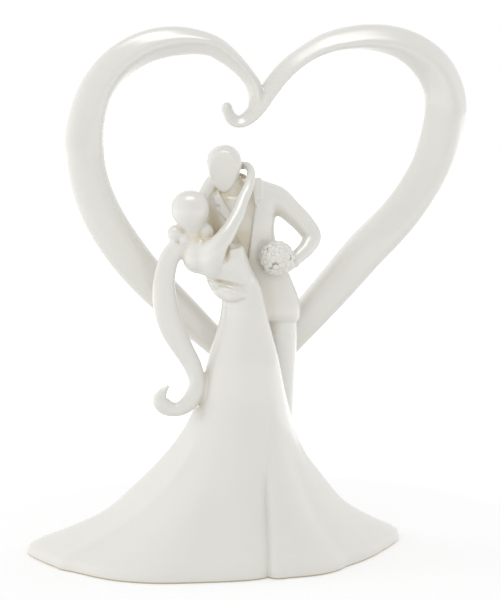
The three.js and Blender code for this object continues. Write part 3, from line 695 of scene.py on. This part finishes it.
def workBride(clay):
    luteLimb(clay, "bride_chest", waist, bride["chest"])
    luteLimb(clay, "bride_chest", waist, bride["neck"])
    arm, window = fieldOf(clay, loft(waist, bride["leftArm"], *bride["leftArmSection"]))
    (lowX, lowZ), (highX, highZ) = bride["armCrease"]
    x, _, z = placesIn(clay, window)
    behindCrease = waist[0] + lowX + (highX - lowX) * (z - waist[2] - lowZ) / (highZ - lowZ) - x
    lute(clay, "bride_left_arm", arm, window, slip(behindCrease, *bride["armSlip"]))
    luteLimb(clay, "bride_right_arm", waist, bride["rightArm"])
    luteShape(clay, "bride_right_arm", egg(waist, bride["shoulder"]), bride["shoulderMelt"])
    luteShape(clay, "bride_head", egg(waist, bride["head"]), bride["headMelt"])
    skirt, bodice, neckline = gownRings()
    dress, window = fieldOf(clay, skinRings(skirt + bodice, np.append(waist[:2], 0.0), neckline))
    corner, _ = fieldOf(clay, loft(waist, gown["corner"], *gown["cornerSection"]), window)
    dress = melt(dress, corner, np.float32(gown["cornerMelt"]))
    x, _, z = placesIn(clay, window)
    radius = np.maximum(slip(waist[0] + gown["necklineX"] - x, *gown["slipX"]),
                        slip(waist[2] + gown["necklineZ"] - z, *gown["slipZ"]))
    below, band = z < waist[2], np.float32(wetClay["band"])
    lute(clay, "gown_bodice", np.where(below, band, dress), window, radius)
    luteOther(clay, np.where(below, dress, band), window, gown["skirtMelt"])
    for name, offset in bride["knots"].items():
        luteShape(clay, name, ball(waist, offset, bride["knotRadius"]), bride["knotMelt"])
    tail = [(*row, bride["tailHalfDepth"] * min(1, row[3] / bride["tailFullWidth"]))
            for row in bride["tail"]]
    part, window = fieldOf(clay, loft(waist, tail, *bride["tailSection"]))
    # slip fills the corner where the lock lies on the skirt
    onSkirt = placesIn(clay, window)[2] < waist[2] + bride["tailOnSkirt"]
    lute(clay, "ponytail", part, window, np.where(onSkirt, bride["tailSkirtMelt"], bride["tailMelt"]))


# Groom: open jacket with lapels, one arm akimbo with the bouquet, the other behind the bride
groom = {
    "jacket": [
        (0.1, 0, -2.4, 11.4, 7.2), (0.1, 0, 0, 11.6, 7.4), (0.4, 0, 4, 11.7, 7.4), (-1, -0.1, 11, 10.6, 7),
        (-3.9, -0.3, 19, 9.6, 6.5), (-5.9, -0.5, 27, 10, 6.5), (-6.8, -0.7, 33, 10.9, 6.5),
        (-7.5, -0.9, 38, 11, 6), (-7.9, -1, 41.6, 10.2, 5.2), (-8.3, -1, 44.2, 7.4, 4)],
    "jacketSection": (72, 2.3), "jacketHem": ((8.1, 0, -1), (-0.17, 0, -1)), "hemRound": 5.0,
    "neck": [(-8.4, -1.8, 34, 3.3), (-8.9, -2.2, 40, 3.1), (-10, -2.6, 45.5, 2.9)],
    # a point on each collar's upper edge, the way up there, and the collar's thickness
    "collars": {"shirt_front": ((-9, -4, 40.3), (0, -0.3, 1), 1.0),
                "jacket": ((-9, -1, 45.8), (-0.25, -0.4, 1), 2.2)},
    "collarFront": -4, "collarFade": 1.6,
    "head": ((-12.35, -4.1, 41.3), (0.3, 1.6, 14.8), 14.7, 5.3, 1.12, 0.24),
    "facePlane": ((-12.6, -6.7, 48.4), (-0.2, -0.95, -0.21)), "faceRound": 0.3,
    "leftSleeve": (48, 0, 2.2, [
        (-2, -0.7, 40, 3.8), (3.7, -0.5, 39.3, 4.1), (9.1, -0.1, 34.9, 3.6), (13.5, -0.1, 30.4, 3.3),
        (15.5, -0.9, 27, 3.05), (13.8, -2.9, 24, 2.6), (10.8, -4.9, 21.6, 2.3), (8.5, -6.3, 20, 2.25)]),
    "leftHand": (40, 1.7, 0.9, [(9.1, -6.1, 20.3, 1.9), (6.7, -7.5, 18.9, 2.0), (4.1, -8.9, 18.6, 1.7)]),
    "rightSleeve": (48, 0, 1.8, [
        (-13.5, -0.9, 38.5, 3.8), (-17.1, -1.1, 34.6, 3.7), (-18.7, -2.3, 28, 3.3), (-18.1, -4.9, 22, 2.9),
        (-17.1, -7.9, 17.6, 2.5)]),
    "rightHand": (40, 1.4, 0.9, [
        (-17.1, -8.1, 17.2, 1.9), (-15.8, -11.9, 14.2, 2.2), (-13.9, -15.3, 12.2, 2.35),
        (-11.3, -17, 11.6, 2.05), (-8.9, -17.4, 11.6, 1.35)]),
    "thumb": (32, 0.9, 0.9, [(-15.4, -15.8, 13.1, 1), (-14, -17, 13, 1.1), (-12.7, -17.5, 12.8, 0.9)]),
    # outlines seen from the front: the opening with the shirt, then the lapels that fold back from it
    "outlines": {
        "shirt_front": [
            (-14.2, 42.4), (-12.7, 38.5), (-10.8, 35.3), (-9.6, 30), (-8.6, 22), (-7.4, 15.5), (-5.9, 16.5),
            (-5.3, 20.7), (-4.6, 25.4), (-3.7, 32.5), (-2.9, 38.4), (-3.6, 43.5), (-4, 48), (-12, 48)],
        "lapel_left": [
            (-3.4, 46.3), (-0.3, 45.8), (-0.4, 41), (-0.9, 39.3), (-2.6, 39.1), (-2.5, 38.6), (-1.6, 38.3),
            (-2.3, 36.6), (-3.3, 38.5), (-3.7, 42)],
        "lapel_right": [
            (-14, 41.4), (-12.6, 38.5), (-10.7, 35.3), (-9.6, 30.5), (-12.1, 33), (-14.9, 36.5),
            (-13.7, 37.3), (-15.4, 38), (-16, 40.4)]},
    "outlinesFrom": -1.5,  # they only touch the front half
    "shirtSetback": 1.1, "shirtLap": 0.4, "edgeRound": 0.3, "lapelThickness": 0.55, "lapelRound": 0.4,
    "melts": {"shirt": 0.2, "lapels": 0.15, "neck": 0.8, "collars": 0.6, "head": 0.4, "legs": 0.25},
}


def workGroom(clay):
    melts, edgeRound = groom["melts"], groom["edgeRound"]
    jacket, window = fieldOf(clay, loft(hip, groom["jacket"], *groom["jacketSection"]))
    point, normal = groom["jacketHem"]
    hem = planeDistance(clay, window, hip + point, normal)
    jacket = pare(jacket, hem, np.float32(groom["hemRound"]))
    x, y, z = placesIn(clay, window)
    front = (y - (hip[1] + groom["outlinesFrom"])).astype(np.float32)
    outline = {name: np.maximum(outlineDistance(drawn, x - hip[0], z - hip[2]), front)
               for name, drawn in groom["outlines"].items()}
    setback, lap = groom["shirtSetback"], groom["shirtLap"]
    opening = np.maximum(outline["shirt_front"], -(jacket + setback + lap))
    lute(clay, "jacket", pare(jacket, -opening, edgeRound), window, 0)
    luteLimb(clay, "left_sleeve", hip, groom["leftSleeve"])
    luteLimb(clay, "right_sleeve", hip, groom["rightSleeve"])
    shirt = np.maximum(jacket + setback, outline["shirt_front"] - lap)
    lute(clay, "shirt_front", shirt, window, melts["shirt"])
    for name in ("lapel_left", "lapel_right"):
        lapel = pare(jacket - groom["lapelThickness"], outline[name], groom["lapelRound"])
        lute(clay, name, lapel, window, melts["lapels"])
    neck, window = fieldOf(clay, loft(hip, groom["neck"]))
    lute(clay, "groom_neck", neck, window, melts["neck"])
    for name, (point, normal, thickness) in groom["collars"].items():
        collar = pare(neck - thickness, planeDistance(clay, window, hip + point, normal), edgeRound)
        if name == "jacket":  # this one only goes round the back
            inFront = (hip[1] + groom["collarFront"]) - placesIn(clay, window)[1]
            collar = pare(collar, inFront, groom["collarFade"])
        lute(clay, name, collar, window, melts["collars"])
    head, window = fieldOf(clay, egg(hip, groom["head"]))
    point, normal = groom["facePlane"]
    face = planeDistance(clay, window, hip + point, normal)
    lute(clay, "groom_head", pare(head, face, np.float32(groom["faceRound"])), window, melts["head"])
    for name, limb in (("left_hand", "leftHand"), ("right_hand", "rightHand"), ("right_hand", "thumb")):
        luteLimb(clay, name, hip, groom[limb])
    for shape in legShapes.values():
        luteOther(clay, *fieldOf(clay, shape), melts["legs"])


couple = {
    "low": (-38, -19, 44), "high": (25, 18, 132), "step": 0.26, "touch": 0.6,
    "gownTouch": 3.0, "byGownX": (-1, 3), "byGownZ": (20, 12),  # slip fills the corner there
    # folds pressed into the front of the clay: x and z from the waist, depth
    "folds": [[(-5.1, 20.4, 0.2), (-5.5, 18.8, 0.6), (-6, 16.8, 0.6), (-6.5, 14.6, 0)],
              [(-11.2, 9.6, 0.3), (-9.1, 9.1, 0.9), (-6.7, 8.5, 1), (-4.4, 8, 1), (-2.3, 7.5, 0.8),
               (0, 6.6, 0)]],
    "foldHalfWidth": 0.5, "foldsFrom": (-2.5, -3.5),
}


def fromWaist(axis, key, value):  # eased between two places that are given from the waist
    start, end = couple[key]
    return ease(waist[axis] + start, waist[axis] + end, value)


def pressFolds(clay):
    x, y, z = placesIn(clay, wholeOf(clay))
    inFront = fromWaist(1, "foldsFrom", y)
    for line in couple["folds"]:
        away, depth = lineDistance(np.array(line) + (waist[0], waist[2], 0), x, z)
        pressed = depth * np.exp(-((away / couple["foldHalfWidth"]) ** 2)) * inFront
        clay["field"] += pressed.astype(np.float32)


def makeCouple():
    clay, other = (newClay(couple["low"], couple["high"], couple["step"]) for _ in range(2))
    workBride(clay)
    workGroom(other)
    closer = other["near"] < clay["near"]
    x, _, z = placesIn(clay, wholeOf(clay))
    byGown = fromWaist(0, "byGownX", x) * fromWaist(2, "byGownZ", z)
    touch = couple["touch"] + (couple["gownTouch"] - couple["touch"]) * byGown
    clay["field"] = melt(clay["field"], other["field"], touch.astype(np.float32))
    clay["owner"] = np.where(closer, other["owner"], clay["owner"])
    for layer in ("near", "other"):
        clay[layer] = np.minimum(clay[layer], other[layer])
    pressFolds(clay)
    print("couple made:", cutPieces(clay), "quads")


makeCouple()

# Bouquet: a lumpy mound of clay with rosettes of round petals pressed into it
bouquet = {"mound": (3.3, -9.1, 21.5), "moundRadius": 4.25, "jointGap": 0.3, "poolShadeInGaps": 0.35,
               "lumpDepth": 0.03, "lumpWaves": (2.1, 1.9, 2.3), "lumpStarts": (1, 0, 2),
               "blossoms": 12, "wrap": 1.1, "petals": 5, "petalRadius": 1.2, "petalReach": 1.36,
               "petalShape": (1.05, 1.0, 0.6), "budRadius": 0.62, "budRise": 0.45, "heartRadius": 2.0,
               "heartShape": (1, 1, 0.3), "spin": 1.2, "seed": 7}
moundMiddle = hip + bouquet["mound"]
moundReach = bouquet["moundRadius"] + bouquet["jointGap"]


def makeMound():
    points, quads, triangles = ball(hip, bouquet["mound"], moundReach)
    away = points - moundMiddle
    waves = np.sin(away * bouquet["lumpWaves"] + bouquet["lumpStarts"])
    lumps = 1 + bouquet["lumpDepth"] * waves.prod(1)
    shape = moundMiddle + away * lumps[:, None], quads, triangles
    mound = addShape("bouquet_core_glazed", shape, ["bouquet_core"])
    # pooled glaze and painted warm shade in the gaps between the blossoms
    paintPoolShade(mound.data, np.full(len(points), bouquet["poolShadeInGaps"]))


def blossomTree(sockets):
    tree = bpy.data.node_groups.new("pressedBlossoms", "GeometryNodeTree")
    tree.interface.new_socket("Geometry", in_out="INPUT", socket_type="NodeSocketGeometry")
    inputs = {}
    for name, kind, _ in sockets:
        socket = tree.interface.new_socket(name, in_out="INPUT", socket_type=f"NodeSocket{kind}")
        inputs[name] = socket.identifier
    tree.interface.new_socket("Geometry", in_out="OUTPUT", socket_type="NodeSocketGeometry")
    given = addNode(tree, "NodeGroupInput").outputs
    petal, bud, middle = (
        addNode(tree, "GeometryNodeMeshUVSphere", {"Radius": given[key]}, {"Segments": count, "Rings": 9})
        for key, count in (("petalRadius", 14), ("budRadius", 14), ("heartRadius", 18)))
    wheel = addNode(tree, "GeometryNodeMeshCircle",
                    {"Vertices": given["petals"], "Radius": given["petalReach"]})
    place = addNode(tree, "GeometryNodeInputPosition")
    outward = addNode(tree, "FunctionNodeAlignRotationToVector", {"Vector": place}, axis="X")
    petals = addNode(tree, "GeometryNodeInstanceOnPoints",
                     {"Points": wheel, "Instance": petal, "Rotation": outward},
                     {"Scale": bouquet["petalShape"]})
    raised = addNode(tree, "GeometryNodeTransform", {"Geometry": bud},
                     {"Translation": (0, 0, bouquet["budRise"] * mm)})
    pressed = addNode(tree, "GeometryNodeTransform", {"Geometry": middle},
                      {"Scale": bouquet["heartShape"]})
    flower = addNode(tree, "GeometryNodeJoinGeometry")
    for part in (pressed, petals, raised):
        tree.links.new(part.outputs[0], flower.inputs["Geometry"])
    facing = addNode(tree, "GeometryNodeInputNamedAttribute", values={"Name": "facing"},
                     data_type="FLOAT_VECTOR")
    turned = addNode(tree, "FunctionNodeAlignRotationToVector", {"Vector": facing}, axis="Z")
    # the third and fourth inputs and the second output are those for plain numbers
    spin = addNode(tree, "FunctionNodeRandomValue", {"Seed": given["seed"]}, {2: 0.0, 3: bouquet["spin"]},
                   data_type="FLOAT")
    twist = addNode(tree, "FunctionNodeAxisAngleToRotation", {"Angle": spin.outputs[1]}, {"Axis": (0, 0, 1)})
    posed = addNode(tree, "FunctionNodeRotateRotation", {"Rotation": turned, "Rotate By": twist},
                    rotation_space="LOCAL")
    cluster = addNode(tree, "GeometryNodeInstanceOnPoints",
                      {"Points": given["Geometry"], "Instance": flower, "Rotation": posed})
    real = addNode(tree, "GeometryNodeRealizeInstances", {"Geometry": cluster})
    smooth = addNode(tree, "GeometryNodeSetShadeSmooth", {"Geometry": real})
    painted = addNode(tree, "GeometryNodeSetMaterial", {"Geometry": smooth, "Material": given["glaze"]})
    addNode(tree, "NodeGroupOutput", {"Geometry": painted})
    return tree, inputs


def makeBlossoms():
    count = bouquet["blossoms"]
    at = np.arange(count)
    toFront = 1 - bouquet["wrap"] * (at + 0.5) / count
    turn = at * math.pi * (3 - math.sqrt(5))
    ringRadius = np.sqrt(1 - toFront**2)
    facing = np.stack((ringRadius * np.cos(turn), -toFront, ringRadius * np.sin(turn)), 1)
    mesh = bpy.data.meshes.new("blossoms_glazed")
    mesh.from_pydata(((moundMiddle + facing * moundReach) * mm).tolist(), [], [])
    layer = mesh.attributes.new("facing", "FLOAT_VECTOR", "POINT")
    layer.data.foreach_set("vector", facing.astype(np.float32).ravel())
    piece = bpy.data.objects.new("blossoms_glazed", mesh)
    scene.collection.objects.link(piece)
    lengths = ("petalRadius", "petalReach", "budRadius", "heartRadius")
    sockets = [(key, "Float", bouquet[key] * mm) for key in lengths]
    sockets += [(key, "Int", bouquet[key]) for key in ("petals", "seed")] + [("glaze", "Material", glaze)]
    modifier = piece.modifiers.new("blossoms", "NODES")
    modifier.node_group, inputs = blossomTree(sockets)
    for name, _, value in sockets:
        modifier[inputs[name]] = value
    depsgraph = bpy.context.evaluated_depsgraph_get()
    finished = bpy.data.meshes.new_from_object(piece.evaluated_get(depsgraph))
    piece.modifiers.clear()
    piece.data = finished
    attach(piece, "root")
    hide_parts(*[f"blossom_{number + 1:02d}" for number in range(count)])


makeMound()
makeBlossoms()
print("bouquet made")

# Studio in metres: white paper floor and surroundings, a softbox above for the gloss, side panels, soft fill
studio = {
    "floorSize": 3.0, "floorTone": 0.62, "floorBounce": 0.9, "ambient": 0.765,
    "glowNear": 0.45, "glowFar": 1.0, "nearReach": 0.1, "farReach": 0.3, "lampEdge": 0.5, "lampCore": 0.15,
    # place, aim, width and height, glow, whether it lights the object and whether the glaze mirrors it
    "lamps": {"overhead_softbox": ((-0.03, -0.2, 0.7), (0, -0.02, 0.12), (0.75, 0.42), 4.5, False, True),
              "left_side_panel": ((-1.0, 0.15, 0.35), (0, 0, 0.1), (0.9, 1.0), 2.0, True, False),
              "right_side_panel": ((1.0, 0.15, 0.35), (0, 0, 0.1), (0.9, 1.0), 1.4, True, False),
              "left_front_fill": ((-0.75, -0.8, 0.4), (0, 0, 0.1), (1.4, 1.0), 0.8, True, False)},
    "eye": (-0.0838, -0.5857, 0.175), "aim": (-0.00131, 0.00112, 0.0811), "lens": 116.43, "sensor": 36.0,
    "nearest": 0.01, "farthest": 20,
}


def seenDirectly(tree):  # 1 for the camera and in mirrors, 0 for light that is only scattered
    ray = addNode(tree, "ShaderNodeLightPath").outputs
    mirrored = addNode(tree, "ShaderNodeMath", {0: ray["Is Camera Ray"], 1: ray["Is Glossy Ray"]},
                       operation="MAXIMUM")
    return addNode(tree, "ShaderNodeMath", {0: mirrored, 1: ray["Is Transmission Ray"]}, operation="MAXIMUM")


def makeFloor():
    half = studio["floorSize"] / 2
    mesh = bpy.data.meshes.new("studio_floor")
    corners = [(-half, -half, 0), (half, -half, 0), (half, half, 0), (-half, half, 0)]
    mesh.from_pydata(corners, [], [(0, 1, 2, 3)])
    floor = bpy.data.objects.new("studio_floor", mesh)
    scene.collection.objects.link(floor)
    material, tree = newMaterial("white_paper_floor")
    paper, plain = (addNode(tree, "ShaderNodeBsdfDiffuse", values={"Color": (tone, tone, tone, 1)})
                    for tone in (studio["floorTone"], studio["floorBounce"]))
    # the paper glows to plain white away from the object and keeps its contact shadow close by
    place = addNode(tree, "ShaderNodeTexCoord").outputs["Object"]
    reach = addNode(tree, "ShaderNodeVectorMath", {0: place}, operation="LENGTH")
    fade = addNode(tree, "ShaderNodeMapRange", {"Value": reach.outputs["Value"]},
                   {"From Min": studio["nearReach"], "From Max": studio["farReach"],
                    "To Min": studio["glowNear"], "To Max": studio["glowFar"]})
    glow = addNode(tree, "ShaderNodeEmission", {"Strength": fade})
    lit = addNode(tree, "ShaderNodeAddShader", {0: paper, 1: glow})
    mixed = addNode(tree, "ShaderNodeMixShader", {0: seenDirectly(tree), 1: plain, 2: lit})
    addNode(tree, "ShaderNodeOutputMaterial", {"Surface": mixed})
    mesh.materials.append(material)


def makeWorld():
    world = bpy.data.worlds.new("white_studio")
    world.use_nodes = True
    tree = world.node_tree
    tree.nodes.clear()
    strength = addNode(tree, "ShaderNodeMapRange", {"Value": seenDirectly(tree)},
                       {"To Min": studio["ambient"], "To Max": 1.0})
    sky = addNode(tree, "ShaderNodeBackground", {"Strength": strength}, {"Color": (1, 1, 1, 1)})
    addNode(tree, "ShaderNodeOutputWorld", {"Surface": sky})
    scene.world = world


def aimAt(thing, place, target):
    thing.location = place
    thing.rotation_euler = (Vector(target) - Vector(place)).to_track_quat("-Z", "Y").to_euler()


def addSoftbox(name, place, target, size, glow, lights, mirrored):
    lamp = bpy.data.lights.new(name, "AREA")
    lamp.shape = "RECTANGLE"
    lamp.size, lamp.size_y = size
    lamp.energy = glow * math.pi * size[0] * size[1]
    lamp.use_nodes = True
    tree = lamp.node_tree
    tree.nodes.clear()
    # bright in the middle and fading out to its edges, so that the glaze mirrors no hard outline
    onFace = addNode(tree, "ShaderNodeNewGeometry").outputs["Parametric"]
    fromMiddle = addNode(tree, "ShaderNodeVectorMath", {0: onFace}, {1: (0.5, 0.5, 0)}, operation="DISTANCE")
    fade = addNode(tree, "ShaderNodeMapRange", {"Value": fromMiddle.outputs["Value"]},
                   {"From Min": studio["lampEdge"], "From Max": studio["lampCore"], "To Min": 0.0,
                    "To Max": 1.0}, interpolation_type="SMOOTHSTEP")
    bulb = addNode(tree, "ShaderNodeEmission", {"Strength": fade})
    addNode(tree, "ShaderNodeOutputLight", {"Surface": bulb})
    box = bpy.data.objects.new(name, lamp)
    scene.collection.objects.link(box)
    box.visible_diffuse, box.visible_glossy = lights, mirrored
    aimAt(box, place, target)


def keepOff(lampName, pieceName):  # flags a lamp off one piece
    flagged = bpy.data.collections.new(f"{lampName}_flag")
    flagged.objects.link(bpy.data.objects[pieceName])
    flagged.collection_objects[0].light_linking.link_state = "EXCLUDE"
    bpy.data.objects[lampName].light_linking.receiver_collection = flagged


def makeCamera():
    camera = bpy.data.cameras.new("photo_camera")
    camera.lens, camera.sensor_width, camera.sensor_fit = studio["lens"], studio["sensor"], "AUTO"
    camera.clip_start, camera.clip_end = studio["nearest"], studio["farthest"]
    eye = bpy.data.objects.new("photo_camera", camera)
    scene.collection.objects.link(eye)
    aimAt(eye, studio["eye"], studio["aim"])
    scene.camera = eye


makeFloor()
makeWorld()
for name, settings in studio["lamps"].items():
    addSoftbox(name, *settings)
keepOff("overhead_softbox", "gown_skirt_glazed")
makeCamera()
scene.view_settings.view_transform = "Standard"
print("studio made")
